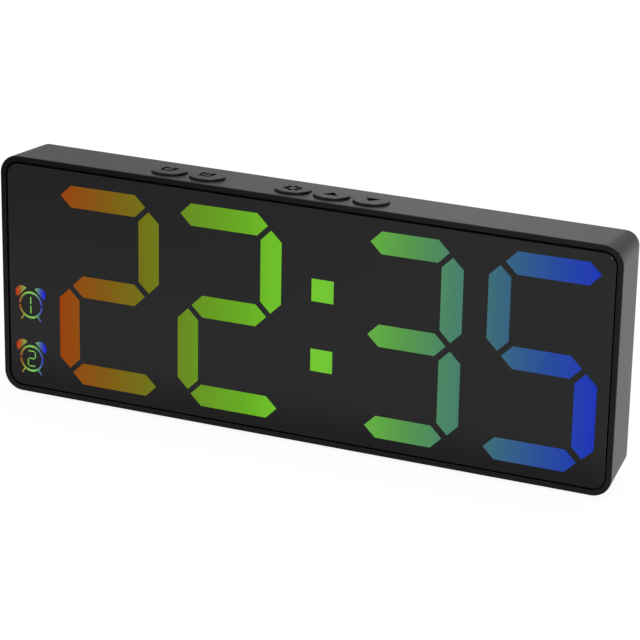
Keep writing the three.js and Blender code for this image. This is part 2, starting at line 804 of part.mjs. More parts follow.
// Foot: a stadium-shaped pad, level below and sloped above to meet the bottom of the case
function foot(depth) {
  const shape = roundedShape(footLength, footWidth, footWidth / 2);
  const geometry = new THREE.ExtrudeGeometry(shape, {
    depth: footDrop, bevelEnabled: false, curveSegments: edgeSegments + 1,
  });
  const position = geometry.attributes.position;
  for (let i = 0; i < position.count; i += 1) {
    if (position.getZ(i) > footDrop / 2) {
      position.setZ(i, footDrop + topSlope * (depth + position.getY(i)));
    }
  }
  return geometry.translate(0, 0, -footDrop);
}

// Assembly

place('front_housing', frontHousing(), caseBlack);
place('front_lens', frontLens(), lensBlack);
place('lens_tape', lensTape(), rubber);
place('diffuser_film', diffuserFilm(), filmWhite);
place('segment_mask', segmentMask(), maskGrey);
place('display_board', displayBoard(), boardGreen);
place('rear_cover', rearCover(), caseBlack);
place('battery_door', batteryDoor(), caseBlack);
place('coin_cell', coinCell(), steel, caseFrame, [trayX, cellFront, trayZ]);
place('negative_contact', negativeContact(), brass);
place('positive_contact', positiveContact(), brass);
const leads = contactLeads();
place('negative_lead', leads.negative, leadBlack);
place('positive_lead', leads.positive, leadRed);
place('buzzer', buzzer(), chipBlack, caseFrame, boardPlace(buzzerShares));
place('power_socket', powerSocket(), steel);
place('socket_tongue', socketTongue(), chipBlack);
place('smoothing_capacitor', capacitor(), steel, caseFrame, boardPlace(capacitorShares));

const chipBox = (width, height, thickness) => (
  box(-width / 2, width / 2, 0, thickness, -height / 2, height / 2));
place('controller_chip', chipBox(controllerSize, controllerSize, controllerHeight), chipBlack,
  caseFrame, boardPlace(controllerShares));
place('driver_chip', chipBox(driverWidth, driverLength, driverHeight), chipBlack,
  caseFrame, boardPlace(driverShares));
const crystal = new THREE.CylinderGeometry(crystalRadius, crystalRadius, crystalLength, smallSegments);
place('clock_crystal', crystal.rotateX(Math.PI / 2).translate(0, crystalRadius, 0), steel,
  caseFrame, boardPlace(crystalShares));

buttons.forEach(({ name, x }) => {
  const group = new THREE.Group();
  group.position.set(x, buttonDepthPlace, buttonLevel);
  caseFrame.add(group);
  place(`${name}_button`, buttonCap(), buttonBlack, group);
  place(`${name}_switch`, switchBody(), chipBlack, group);
  place(`${name}_plunger`, switchPlunger(), filmWhite, group);
});

coverScrews.forEach(([x, z], i) => {
  place(`cover_screw_${i + 1}`, screw(coverShankLength), steel, caseFrame,
    [x, coverBack - counterboreDepth, z]);
});
const moduleShank = shelfThickness + boardThickness + maskThickness * moduleShankShare;
lugs.forEach((lug, i) => {
  place(`module_screw_${i + 1}`, screw(moduleShank), steel, caseFrame, [lug.x, shelfBack, lug.z]);
});

[-1, 1].forEach((side) => {
  [['front', footFrontPlace], ['back', footBackPlace]].forEach(([end, depth]) => {
    place(`foot_${end}_${side < 0 ? 'left' : 'right'}`, foot(depth), rubber, caseFrame,
      [side * (caseWidth / 2 - footSideInset), depth, 0]);
  });
});

export default clock;
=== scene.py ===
import json
import math

import bmesh
import bpy
from mathutils import Matrix, Vector

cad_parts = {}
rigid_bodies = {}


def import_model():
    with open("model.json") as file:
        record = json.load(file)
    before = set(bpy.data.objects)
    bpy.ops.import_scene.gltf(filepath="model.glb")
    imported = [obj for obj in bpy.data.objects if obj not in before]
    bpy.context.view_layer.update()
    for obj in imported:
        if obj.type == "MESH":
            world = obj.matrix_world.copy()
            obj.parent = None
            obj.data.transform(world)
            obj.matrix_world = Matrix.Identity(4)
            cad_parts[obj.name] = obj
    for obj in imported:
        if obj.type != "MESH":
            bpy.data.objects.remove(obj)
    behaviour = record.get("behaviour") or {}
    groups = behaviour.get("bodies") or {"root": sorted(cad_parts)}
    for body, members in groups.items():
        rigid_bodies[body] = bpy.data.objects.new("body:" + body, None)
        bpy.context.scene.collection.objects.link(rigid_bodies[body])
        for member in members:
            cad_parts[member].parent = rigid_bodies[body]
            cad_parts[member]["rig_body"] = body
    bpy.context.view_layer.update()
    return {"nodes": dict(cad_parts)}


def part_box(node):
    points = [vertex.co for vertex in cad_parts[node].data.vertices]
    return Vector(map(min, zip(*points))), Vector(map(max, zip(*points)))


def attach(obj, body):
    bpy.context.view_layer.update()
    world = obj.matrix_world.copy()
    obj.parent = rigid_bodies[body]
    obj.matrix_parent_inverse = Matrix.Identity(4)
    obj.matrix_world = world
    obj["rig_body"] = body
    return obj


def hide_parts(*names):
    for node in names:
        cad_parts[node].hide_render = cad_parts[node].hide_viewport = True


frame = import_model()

# Looks of a slim digital alarm clock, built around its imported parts, in metres.
# Inside the case, a place is given as the part's source gives it: across from the middle,
# depth behind the front edge, and height above the bottom of the case.
MM = 0.001

# Case
HOUSING_LOW, HOUSING_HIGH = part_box("front_housing")
FRONT = HOUSING_LOW.y
CASE_WIDTH = 165 * MM
CASE_HEIGHT = 63.75 * MM
CASE_DEPTH = HOUSING_HIGH.y - HOUSING_LOW.y
CASE_BOTTOM = 0.8 * MM
DRAFT = 1.6 * MM
SLOPE = DRAFT / CASE_DEPTH
CORNER_RADIUS = 5.1 * MM
LEAST_RADIUS = 1.5 * MM
EDGE_ROUND = 0.455 * MM
RIM_WIDTH = 1.45 * MM
RIM_ROUND = 0.12 * MM
LENS_GAP = 0.4 * MM
LENS_RECESS = 0.2 * MM
LENS_THICKNESS = 1.1 * MM
LENS_ROUND = 0.15 * MM
LENS_SEAT = 1.45 * MM
# The gap round the lens is wider above it and to its left, as it is in the photo
LENS_DROP = 0.3 * MM
LENS_SHIFT = 0.12 * MM
BAY_INSET = 2.7 * MM
SHELF_INSET = 5.7 * MM
BOARD_BACK = 7.65 * MM
SHELF_BACK = 9.15 * MM
REBATE_INSET = 2.8 * MM
REAR_BAY_INSET = 3.6 * MM
COVER_SEAT = 15.5 * MM
INNER_ROUND = 0.1 * MM

# Keys
KEYS = ("alarm_1", "alarm_2", "settings", "up", "down")
KEY_RADIUS = 4.425 * MM
KEY_GAP = 0.15 * MM
KEY_PROUD = 0.69 * MM
KEY_ROUND = 0.2 * MM
KEY_EDGE_BAND = 1.5 * KEY_ROUND
KEY_DEPTH_PLACE = 6.7 * MM
KEY_ROOM = 0.3 * MM
FLANGE_THICKNESS = 0.8 * MM
HOLE_FLARE = 0.12 * MM
ENGRAVING = 0.45 * MM

# Key symbols, in millimetres about the middle of a key
GEAR_TEETH = 8
GEAR_ROOT, GEAR_TIP = 1.85, 2.6
GEAR_ROOT_SHARE, GEAR_TIP_SHARE = 0.3125, 0.1875
GEAR_HOLE = 1.05
ARROW_HALF = 2.05
ARROW_BASE, ARROW_POINT = 1.5, 1.65
# The clock is drawn as large as a lit alarm symbol, then made smaller and moved
CLOCK_DIAL = ((0, 180), (180, 360))
CLOCK_STROKE = 1.5
CLOCK_SHARES = (0.48, 0.44)
CLOCK_SHIFT = (-0.35, 0.2)

# Display
LIT = {"2": "abged", "3": "abgcd", "5": "afgcd"}
# Each digit's value, its middle, and its bars that reach further to the left (-1) or right (1)
DIGITS = (
    ("2", -51.96 * MM, {"a": -1, "d": 1}),
    ("2", -18.5 * MM, {"a": -1, "d": 1}),
    ("3", 28.96 * MM, {}),
    ("5", 63.49 * MM, {"a": 1, "d": -1}),
)
DIGIT_HALF = 11.275 * MM
ROW_LEVELS = {"a": 55.7 * MM, "g": 31.78 * MM, "d": 7.74 * MM}
ROW_SHIFTS = {"a": 0.19 * MM, "g": -0.05 * MM, "d": -0.32 * MM}
ROW_STROKE = 5.8 * MM
COLUMN_STROKE = 5.62 * MM
TIP_GAP = 1.1 * MM
LONG_REACH = 2.3 * MM
COLON_X = 6.65 * MM
COLON_LEVELS = (22.5 * MM, 40.8 * MM)
COLON_SIZE = 5.85 * MM
ICON_X = -74.48 * MM
ICON_LEVELS = (24.1 * MM, 9.4 * MM)
GLOW_PROUD = 0.03 * MM
# The digits are stretched upwards by this share for each metre to the right of this middle
SPREAD_MIDDLE = 27 * MM
DISPLAY_SPREAD = 0.125

# Alarm symbols, in millimetres and degrees about the middle of the dial
DIAL_RADIUS = 3.4
DIAL_SQUEEZE = 0.93
DIAL_STROKE = 0.55
DIAL_PARTS = {"1": ((4, 176), (184, 356)), "2": ((-176, 176),)}
BELL_RADIUS = 1.85
BELL_PLACE = (2.5, 3.15)
BELL_LEAN = 45
BELL_STEPS = 12
LEG_TOP, LEG_FOOT = (2, -2.95), (2.85, -4.2)
LEG_STROKE_SHARE = 0.75
NUMBER_STROKE_SHARE = 0.58
NUMBERS = {
    "1": [((0, 0.25), (0, 2.2)), ((0, -0.25), (0, -2.25))],
    "2": [((-0.95, 2.0), (0.75, 2.0)), ((1.05, 1.85), (1.05, 0.2)), ((0.8, 0), (-0.75, 0)),
          ((-1.05, -0.2), (-1.05, -1.9)), ((-0.8, -2.1), (0.95, -2.1))],
}

# Screws
SCREW_SHANK = 0.85 * MM
SCREW_HEAD = 2 * MM
SCREW_HEAD_HEIGHT = 0.9 * MM
SCREW_SEGMENTS = 40
HEAD_SEAT_ROUND, HEAD_WALL_ROUND, HEAD_TOP_ROUND = 0.05 * MM, 0.1 * MM, 0.4 * MM
CROSS_HALF = 0.2 * MM
SHANK_END_SHARE = 0.4
# Shares of the head's radius
HEAD_TOP_SHARE = 0.72
HEAD_END_SHARE = 0.3
CROSS_ARM_SHARE = 0.52
# Shares of the head's height
HEAD_WALL_SHARE = 0.45
CROSS_DEPTH_SHARE = 0.6

# Cell
CELL_STEP = 1.3 * MM
CELL_STEP_LOW, CELL_STEP_HIGH = 0.5 * MM, 0.55 * MM
CELL_ROUND, CELL_TOP_ROUND = 0.3 * MM, 0.4 * MM
CELL_END_SHARE = 0.4
PLUS_ARM = 3 * MM
PLUS_HALF = 0.45 * MM
PLUS_DEPTH = 0.12 * MM

# Edges that are softened on a node's own shape
SOFT_EDGES = {"power_socket": 0.06 * MM, "socket_tongue": 0.08 * MM,
              "negative_contact": 0.04 * MM, "positive_contact": 0.04 * MM}
COVER_EDGE = 0.1 * MM
FOOT_EDGE = 0.15 * MM

# Bounds on the normal of a face, by which it gets a finish of its own, as the painted shade on the rim's
# front and on the keys' sides does
RIM_LEAN = 0.7
LENS_EDGE_LEANS = (0.05, 0.995)
LENS_EDGE_SIDE = 0.4
KEY_FACE_LEAN = 0.6

# Finishes
NOISE_BAND = (0.3, 0.7)
MOTTLE_SCALE = 60.0
MOTTLE_BAND = (0.35, 0.65)
GLOSS_VARIATION = 0.08
GRAIN_STRENGTH = 0.35
# How far the painted shade of a smoked finish reaches, a deeper tone along the top and up from the bottom
PAINTED_SHADE_SQUEEZE = 0.3
PAINTED_SHADE_CORNER = (-8 * MM, 48 * MM)
PAINTED_SHADE_BOTTOM = (3 * MM, 14 * MM)
SMOKE_GRAIN = 500.0
SMOKE_VARIATION = 0.1

# Studio
AMBIENT = 0.55
LAMPS = {
    "key": {"direction": (0.604, -0.501, 0.6175), "distance": 0.8, "size": 0.2, "watts": 3.0},
    "fill": {"direction": (-0.7, -0.6, 0.6), "distance": 1.0, "size": 0.6, "watts": 3.0},
    "top": {"direction": (0.1, 0.3, 1.0), "distance": 0.9, "size": 0.6, "watts": 5.0},
    "back": {"direction": (-0.27, 0.93, 0.3), "distance": 0.9, "size": 0.2, "watts": 0.12},
}
FLOOR_REACH = 6.0
FLOOR_TONES = (0.88, 0.9)
FLOOR_CLOUDS = 3.0
FLOOR_FADE = {"From Min": 0.5, "From Max": 1.8, "To Min": 0.92, "To Max": 1.0}
CARD_HALF = 2.4
CARD_DEPTH = 1.3
CARD_LOW, CARD_HIGH = 0.05, 2.2
CARD_TONES = (0.46, 0.5)
CARD_CLOUDS = 2.0
CARD_BASE = 0.02
SENSOR_WIDTH = 36
NEAREST = 0.01
CAMERA_LENS = 159.67
CAMERA_PLACE = (0.2597, -0.6085, 0.2782)
CAMERA_AZIMUTH, CAMERA_ELEVATION, CAMERA_ROLL = (math.radians(a) for a in (22.912, 20.547, 1.096))

# Meshes
CORNER_STEPS = 24
ROUND_STEPS = 6
ARC_STEPS = 20
DISC_SEGMENTS = 72
BEVEL_SEGMENTS = 2
SHARP = math.radians(32)
FLAT = math.radians(0.5)
WELD = 0.001 * MM
LEVEL_TOLERANCE = 0.01 * MM


# Mesh helpers

def at(x, depth, height):
    """A place in the case's own terms, as a place in the frame"""
    return Vector((x, FRONT + depth, CASE_BOTTOM + height))


def edited(obj, change):
    """Changes an object's mesh as a bmesh"""
    made = bmesh.new()
    made.from_mesh(obj.data)
    change(made)
    made.to_mesh(obj.data)
    made.free()
    return obj


def add_object(name, verts, faces):
    """A new object whose faces all point out"""
    mesh = bpy.data.meshes.new(name)
    mesh.from_pydata([tuple(v) for v in verts], [], faces)
    obj = bpy.data.objects.new(name, mesh)
    bpy.context.scene.collection.objects.link(obj)
    return edited(obj, lambda made: bmesh.ops.recalc_face_normals(made, faces=made.faces))


def tube(name, rings, looped=False):
    """Joins rings of equally many points, with flat ends or back round to the first ring"""
    count = len(rings[0])
    verts = [point for ring in rings for point in ring]
    faces = []
    for i in range(len(rings) if looped else len(rings) - 1):
        low, high = i * count, (i + 1) % len(rings) * count
        for j in range(count):
            k = (j + 1) % count
            faces.append((low + j, low + k, high + k, high + j))
    if not looped:
        faces.append(tuple(range(count)))
        faces.append(tuple(range(len(verts) - count, len(verts))))
    return add_object(name, verts, faces)


def soften(points, looped=False):
    """Rounds the corners of a line of (a, b, radius) points"""
    line = []
    for i, (a, b, radius) in enumerate(points):
        corner = Vector((a, b))
        ends = not looped and i in (0, len(points) - 1)
        if ends or not radius:
            line.append(corner)
            continue
        before, after = (Vector(points[(i + d) % len(points)][:2]) for d in (-1, 1))
        start = corner + (before - corner).normalized() * radius
        stop = corner + (after - corner).normalized() * radius
        for step in range(ROUND_STEPS + 1):
            s = step / ROUND_STEPS
            line.append((1 - s) ** 2 * start + 2 * s * (1 - s) * corner + s ** 2 * stop)
    return line


def case_ring(depth, inset):
    """The outline of the case, a rectangle with round corners, drawn in by an inset"""
    radius = max(CORNER_RADIUS - inset, LEAST_RADIUS)
    half_width, half_height = (size / 2 - inset - radius for size in (CASE_WIDTH, CASE_HEIGHT))
    ring = []
    for corner in range(4):
        x = (1 if corner in (0, 3) else -1) * half_width
        z = CASE_HEIGHT / 2 + (1 if corner < 2 else -1) * half_height
        for step in range(CORNER_STEPS + 1):
            angle = (corner + step / CORNER_STEPS) * math.pi / 2
            ring.append(at(x + radius * math.cos(angle), depth, z + radius * math.sin(angle)))
    return ring


def circle(radius, centre, along, axis, segments):
    """A ring about a centre, moved along Y or Z"""
    ring = []
    for i in range(segments):
        u = radius * math.cos(2 * math.pi * i / segments)
        v = radius * math.sin(2 * math.pi * i / segments)
        step = (u, along, v) if axis == "Y" else (u, v, along)
        ring.append(centre + Vector(step))
    return ring


def turned(name, profile, centre, axis="Y", segments=DISC_SEGMENTS):
    """A body turned from (radius, along) points"""
    return tube(name, [circle(r, centre, along, axis, segments) for r, along in profile])


def block(name, low, high):
    """A box between two corners"""
    base = [(low[0], low[1]), (high[0], low[1]), (high[0], high[1]), (low[0], high[1])]
    return tube(name, [[Vector((x, y, z)) for x, y in base] for z in (low[2], high[2])])


def prism(name, outline, start, stop):
    """An outline of (across, up) points, between two depths"""
    return tube(name, [[at(x, depth, z) for x, z in outline] for depth in (start, stop)])


def shear(obj, centre_y, slope):
    """Tilts level faces so that they follow the slope of the case's top"""
    for vertex in obj.data.vertices:
        vertex.co.z -= slope * (vertex.co.y - centre_y)
    return obj


def baked(obj):
    """Applies an object's modifiers to its mesh"""
    graph = bpy.context.evaluated_depsgraph_get()
    graph.update()
    old = obj.data
    obj.data = bpy.data.meshes.new_from_object(obj.evaluated_get(graph))
    obj.modifiers.clear()
    bpy.data.meshes.remove(old)
    return obj


def combine(obj, operation, tools):
    """An exact Boolean with several tools at once, which are used up"""
    group = bpy.data.collections.new("tools")
    bpy.context.scene.collection.children.link(group)
    for tool in tools:
        bpy.context.scene.collection.objects.unlink(tool)
        group.objects.link(tool)
    modifier = obj.modifiers.new("combine", "BOOLEAN")
    modifier.operation = operation
    modifier.solver = "EXACT"
    modifier.operand_type = "COLLECTION"
    modifier.collection = group
    baked(obj)
    for tool in tools:
        bpy.data.objects.remove(tool)
    bpy.data.collections.remove(group)
    return obj


def weld(made):
    """Joins vertices that lie on each other"""
    bmesh.ops.remove_doubles(made, verts=made.verts, dist=WELD)


def smooth(obj, bevel=0.0):
    """Softens hard edges where asked, and shades what curves as curved"""
    if bevel:
        modifier = obj.modifiers.new("soft_edges", "BEVEL")
        modifier.width = bevel
        modifier.segments = BEVEL_SEGMENTS
        modifier.limit_method = "ANGLE"
        modifier.angle_limit = SHARP
        baked(obj)
    edited(obj, weld)
    for polygon in obj.data.polygons:
        polygon.use_smooth = True
    obj.data.set_sharp_from_angle(angle=SHARP)
    weighted = obj.modifiers.new("weighted", "WEIGHTED_NORMAL")
    weighted.keep_sharp = True
    return baked(obj)


# Materials

def tint(red, green, blue):
    """A colour as a screen gives it, turned into the linear values of a shader"""
    linear = []
    for value in (red, green, blue):
        part = value / 255
        linear.append(part / 12.92 if part < 0.04045 else ((part + 0.055) / 1.055) ** 2.4)
    return (*linear, 1)


class Paint:
    """A node material that is put together step by step, in object space"""

    def __init__(self, name):
        self.material = bpy.data.materials.new(name)
        self.material.use_nodes = True
        self.tree = self.material.node_tree
        self.shader = self.tree.nodes["Principled BSDF"]
        self.place = self.node("ShaderNodeTexCoord").outputs["Object"]

    def node(self, kind, **values):
        made = self.tree.nodes.new(kind)
        for key, value in values.items():
            setattr(made, key, value)
        return made

    def link(self, start, end):
        self.tree.links.new(start, end)

    def noise(self, scale, detail=3.0, stretch=None):
        source = self.place
        if stretch:
            mapping = self.node("ShaderNodeMapping")
            mapping.inputs["Scale"].default_value = stretch
            self.link(source, mapping.inputs["Vector"])
            source = mapping.outputs["Vector"]
        made = self.node("ShaderNodeTexNoise")
        made.inputs["Scale"].default_value = scale
        made.inputs["Detail"].default_value = detail
        self.link(source, made.inputs["Vector"])
        return made.outputs["Fac"]

    def ramp(self, source, stops):
        made = self.node("ShaderNodeValToRGB")
        elements = made.color_ramp.elements
        while len(elements) < len(stops):
            elements.new(0.5)
        for element, (position, colour) in zip(elements, stops):
            element.position = position
            element.color = colour
        self.link(source, made.inputs["Fac"])
        return made.outputs["Color"]

    def between(self, source, low, high):
        """Noise, most of which lies in its band, as a value between two limits"""
        made = self.node("ShaderNodeMapRange")
        made.inputs["From Min"].default_value = NOISE_BAND[0]
        made.inputs["From Max"].default_value = NOISE_BAND[1]
        made.inputs["To Min"].default_value = low
        made.inputs["To Max"].default_value = high
        self.link(source, made.inputs["Value"])
        return made.outputs["Result"]

    def rise(self, source, low, high, kind="SMOOTHSTEP"):
        """A rise from 0 to 1 while the source goes from low to high"""
        made = self.node("ShaderNodeMapRange", interpolation_type=kind)
        made.inputs["From Min"].default_value = low
        made.inputs["From Max"].default_value = high
        self.link(source, made.inputs["Value"])
        return made.outputs["Result"]

    def along(self, axis):
        """The place along X, Y or Z"""
        split = self.node("ShaderNodeSeparateXYZ")
        self.link(self.place, split.inputs["Vector"])
        return split.outputs[axis]

    def bump(self, source, strength, distance):
        made = self.node("ShaderNodeBump")
        made.inputs["Strength"].default_value = strength
        made.inputs["Distance"].default_value = distance
        self.link(source, made.inputs["Height"])
        self.link(made.outputs["Normal"], self.shader.inputs["Normal"])


def shade(colour, factor):
    """A lighter or darker tone of a colour"""
    return (*(min(channel * factor, 1) for channel in colour[:3]), 1)


def moulded(name, colour, roughness, specular=0.5, metallic=0.0, grain=0.3 * MM,
            depth=0.01 * MM, mottle=0.12, stretch=None):
    """A finish with faint mottling, uneven gloss and a fine grain"""
    paint = Paint(name)
    tones = [shade(colour, factor) for factor in (1 - mottle, 1 + mottle)]
    colours = paint.ramp(paint.noise(MOTTLE_SCALE), list(zip(MOTTLE_BAND, tones)))
    paint.link(colours, paint.shader.inputs["Base Color"])
    fine = paint.noise(1 / grain, 2.0, stretch)
    gloss = paint.between(fine, roughness * (1 - GLOSS_VARIATION), roughness * (1 + GLOSS_VARIATION))
    paint.link(gloss, paint.shader.inputs["Roughness"])
    paint.bump(fine, GRAIN_STRENGTH, depth)
    paint.shader.inputs["Metallic"].default_value = metallic
    paint.shader.inputs["Specular IOR Level"].default_value = specular
    return paint.material


def dark_finish_with_painted_shade(name, dark, clear, roughness, specular, bottom=True):
    """A dark finish with painted shade, deeper in tone along the top towards the left and, if asked, along
    the bottom
    """
    paint = Paint(name)
    # Painted shade: the base colour darkens towards the case's top left corner and, if asked, towards the
    # bottom
    squeeze = Vector((PAINTED_SHADE_SQUEEZE, 1, 1))
    squeezed = paint.node("ShaderNodeVectorMath", operation="MULTIPLY")
    paint.link(paint.place, squeezed.inputs[0])
    squeezed.inputs[1].default_value = squeeze
    corner = paint.node("ShaderNodeVectorMath", operation="DISTANCE")
    paint.link(squeezed.outputs["Vector"], corner.inputs[0])
    corner.inputs[1].default_value = at(-CASE_WIDTH / 2, 0, CASE_HEIGHT) * squeeze
    tone = paint.rise(corner.outputs["Value"], *PAINTED_SHADE_CORNER)
    if bottom:
        least = paint.node("ShaderNodeMath", operation="MINIMUM")
        paint.link(tone, least.inputs[0])
        paint.link(paint.rise(paint.along("Z"), *PAINTED_SHADE_BOTTOM), least.inputs[1])
        tone = least.outputs["Value"]
    paint.link(paint.ramp(tone, ((0, dark), (1, clear))), paint.shader.inputs["Base Color"])
    gloss = paint.between(paint.noise(SMOKE_GRAIN, 2.0), roughness * (1 - SMOKE_VARIATION),
                          roughness * (1 + SMOKE_VARIATION))
    paint.link(gloss, paint.shader.inputs["Roughness"])
    paint.shader.inputs["Specular IOR Level"].default_value = specular
    return paint.material


def glowing(name, stops, centre=0.0):
    """Lit film whose colour runs along X; each stop is a place in millimetres and a colour"""
    paint = Paint(name)
    start, end = stops[0][0], stops[-1][0]
    run = paint.rise(paint.along("X"), centre + start * MM, centre + end * MM, "LINEAR")
    colours = paint.ramp(run, [((x - start) / (end - start), colour) for x, colour in stops])
    paint.link(colours, paint.shader.inputs["Emission Color"])
    paint.shader.inputs["Emission Strength"].default_value = 1.0
    paint.shader.inputs["Base Color"].default_value = (0, 0, 0, 1)
    paint.shader.inputs["Roughness"].default_value = 0.6
    paint.shader.inputs["Specular IOR Level"].default_value = 0.0
    return paint.material


# The colours that the lit film runs through, from left to right
DIGIT_STOPS = (
    (-66, tint(152, 66, 17)), (-54, tint(130, 89, 23)), (-41, tint(113, 115, 27)),
    (-28, tint(104, 146, 36)), (-14, tint(104, 172, 38)), (-7.5, tint(110, 189, 42)),
    (6.7, tint(115, 200, 52)), (28.6, tint(87, 152, 76)), (52, tint(60, 105, 124)),
    (65, tint(44, 77, 155)), (78, tint(31, 53, 184)),
)
ICON_STOPS = (
    (-4.2, tint(196, 48, 18)), (-3.1, tint(150, 88, 42)), (-1.2, tint(126, 180, 78)),
    (0.6, tint(132, 204, 92)), (1.9, tint(92, 144, 112)), (3, tint(64, 74, 168)), (4.2, tint(28, 38, 208)),
)

FINISHES = {
    "case_plastic": moulded("case_plastic", tint(27, 27, 28), 0.42, 0.315),
    # The lens's dark tone is its own smoked tint; its darker top left and bottom are painted shade
    "lens_acrylic": dark_finish_with_painted_shade("lens_acrylic", tint(11, 11, 11), tint(26, 26, 26), 0.2, 0.13),
    "lens_tape": moulded("lens_tape", tint(10, 10, 10), 0.9, 0.1),
    "diffuser_film": moulded("diffuser_film", tint(220, 221, 220), 0.7, mottle=0.03),
    "reflector_plastic": moulded("reflector_plastic", tint(154, 154, 152), 0.6),
    "circuit_board": moulded("circuit_board", tint(29, 75, 52), 0.45, grain=1 * MM),
    "cell_steel": moulded("cell_steel", tint(206, 207, 209), 0.32, metallic=1.0, stretch=(1, 1, 12)),
    "contact_metal": moulded("contact_metal", tint(205, 188, 140), 0.35, metallic=1.0),
    "lead_black": moulded("lead_black", tint(28, 28, 28), 0.55),
    "lead_red": moulded("lead_red", tint(140, 31, 28), 0.55),
    "chip_plastic": moulded("chip_plastic", tint(26, 26, 27), 0.65),
    "socket_steel": moulded("socket_steel", tint(203, 203, 203), 0.3, metallic=1.0),
    "capacitor_can": moulded("capacitor_can", tint(203, 205, 206), 0.35, metallic=1.0),
    "button_plastic": moulded("button_plastic", tint(20, 20, 21), 0.42, 0.3),
    "switch_plastic": moulded("switch_plastic", tint(30, 30, 31), 0.55),
    "plunger_plastic": moulded("plunger_plastic", tint(203, 203, 200), 0.5),
    "screw_steel": moulded("screw_steel", tint(124, 124, 126), 0.38, metallic=1.0),
    "foot_rubber": moulded("foot_rubber", tint(28, 28, 28), 0.85, 0.3, depth=0.03 * MM),
}

# Finishes of single faces and pieces, beside those of the record's slots
# Painted shade: the rim's front faces are a darker copy of the case plastic, darker still towards the top
# left
CASE_FACE_PAINTED_SHADE = dark_finish_with_painted_shade("case_face_painted_shade", tint(5, 5, 5), tint(22, 22, 22), 0.5, 0.05, bottom=False)
# Painted shade: near black on the walls of the groove and pocket round the lens
CASE_GROOVE_PAINTED_SHADE = moulded("case_groove_painted_shade", tint(8, 8, 8), 0.8, 0.04)
LENS_EDGE = moulded("lens_edge", tint(15, 15, 15), 0.16, 0.5)
# Painted shade: the keys' side walls are a darker copy of the key plastic
KEY_SIDE_PAINTED_SHADE = moulded("key_side_painted_shade", tint(6, 6, 6), 0.3, 0.45)
# Painted shade: near black inside the symbols sunk into the keys
KEY_SUNK_PAINTED_SHADE = moulded("key_sunk_painted_shade", tint(6, 6, 6), 0.6, 0.05)
CELL_MARK = moulded("cell_mark", tint(96, 97, 99), 0.6, metallic=1.0)
COVER_PLASTIC = moulded("cover_plastic", tint(27, 27, 28), 0.55, 0.3, grain=0.5 * MM, depth=0.025 * MM)
DIGIT_GLOW = glowing("digit_glow", DIGIT_STOPS)
ICON_GLOW = glowing("icon_glow", ICON_STOPS, ICON_X)

SLOT_NODES = {
    "case_plastic": ["front_housing", "rear_cover", "battery_door"],
    "lens_acrylic": ["front_lens"],
    "lens_tape": ["lens_tape"],
    "diffuser_film": ["diffuser_film"],
    "reflector_plastic": ["segment_mask"],
    "circuit_board": ["display_board"],
    "cell_steel": ["coin_cell"],
    "contact_metal": ["negative_contact", "positive_contact"],
    "lead_black": ["negative_lead"],
    "lead_red": ["positive_lead"],
    "chip_plastic": ["controller_chip", "driver_chip", "buzzer", "socket_tongue"],
    "socket_steel": ["power_socket"],
    "capacitor_can": ["smoothing_capacitor", "clock_crystal"],
    "button_plastic": [f"{key}_button" for key in KEYS],
    "switch_plastic": [f"{key}_switch" for key in KEYS],
    "plunger_plastic": [f"{key}_plunger" for key in KEYS],
    "screw_steel": [f"{kind}_screw_{i}" for kind in ("cover", "module") for i in range(1, 5)],
    "foot_rubber": [f"foot_{end}_{side}" for end in ("front", "back") for side in ("left", "right")],
}
SLOT_OF = {node: slot for slot, nodes in SLOT_NODES.items() for node in nodes}
BODY_OF = {node: obj["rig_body"] for node, obj in frame["nodes"].items()}


def finish_piece(piece, slot, body, material=None, nodes=()):
    """Gives a piece its material, its body and the nodes that it stands for"""
    if not piece.data.materials:
        piece.data.materials.append(material or FINISHES[slot])
    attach(piece, body)
    if nodes:
        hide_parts(*nodes)
    return piece


def paint_faces(piece, materials, choose):
    """Gives each face of a piece one of several materials"""
    piece.data.materials.clear()
    for material in materials:
        piece.data.materials.append(material)
    for polygon in piece.data.polygons:
        polygon.material_index = choose(polygon)


def paint_nodes():
    """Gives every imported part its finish"""
    for node, obj in frame["nodes"].items():
        obj.data.materials.clear()
        obj.data.materials.append(FINISHES[SLOT_OF[node]])


# Case

def key_centre(key):
    """The place on the case's top that a key stands over"""
    low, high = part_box(f"{key}_button")
    return at((low.x + high.x) / 2, KEY_DEPTH_PLACE, CASE_HEIGHT - SLOPE * KEY_DEPTH_PLACE)


def key_hole(key):
    """A tool for one key's hole, flared where it comes out of the top"""
    centre = key_centre(key)
    radius = KEY_RADIUS + KEY_GAP
    profile = [(radius, -2 * BAY_INSET), (radius, -HOLE_FLARE),
               (radius + 2 * HOLE_FLARE, HOLE_FLARE)]
    return shear(turned(f"{key}_hole", profile, centre, "Z"), centre.y, SLOPE)


def key_pocket(keys):
    """A tool for the room under the top wall for one group of keys"""
    boxes = [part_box(f"{key}_button") for key in keys]
    low = Vector((min(b[0].x for b in boxes) - KEY_ROOM, boxes[0][0].y - KEY_ROOM,
                  CASE_BOTTOM + CASE_HEIGHT - SHELF_INSET - KEY_ROOM))
    high = Vector((max(b[1].x for b in boxes) + KEY_ROOM, boxes[0][1].y + KEY_ROOM,
                   CASE_BOTTOM + CASE_HEIGHT - BAY_INSET))
    return block("key_pocket", low, high)


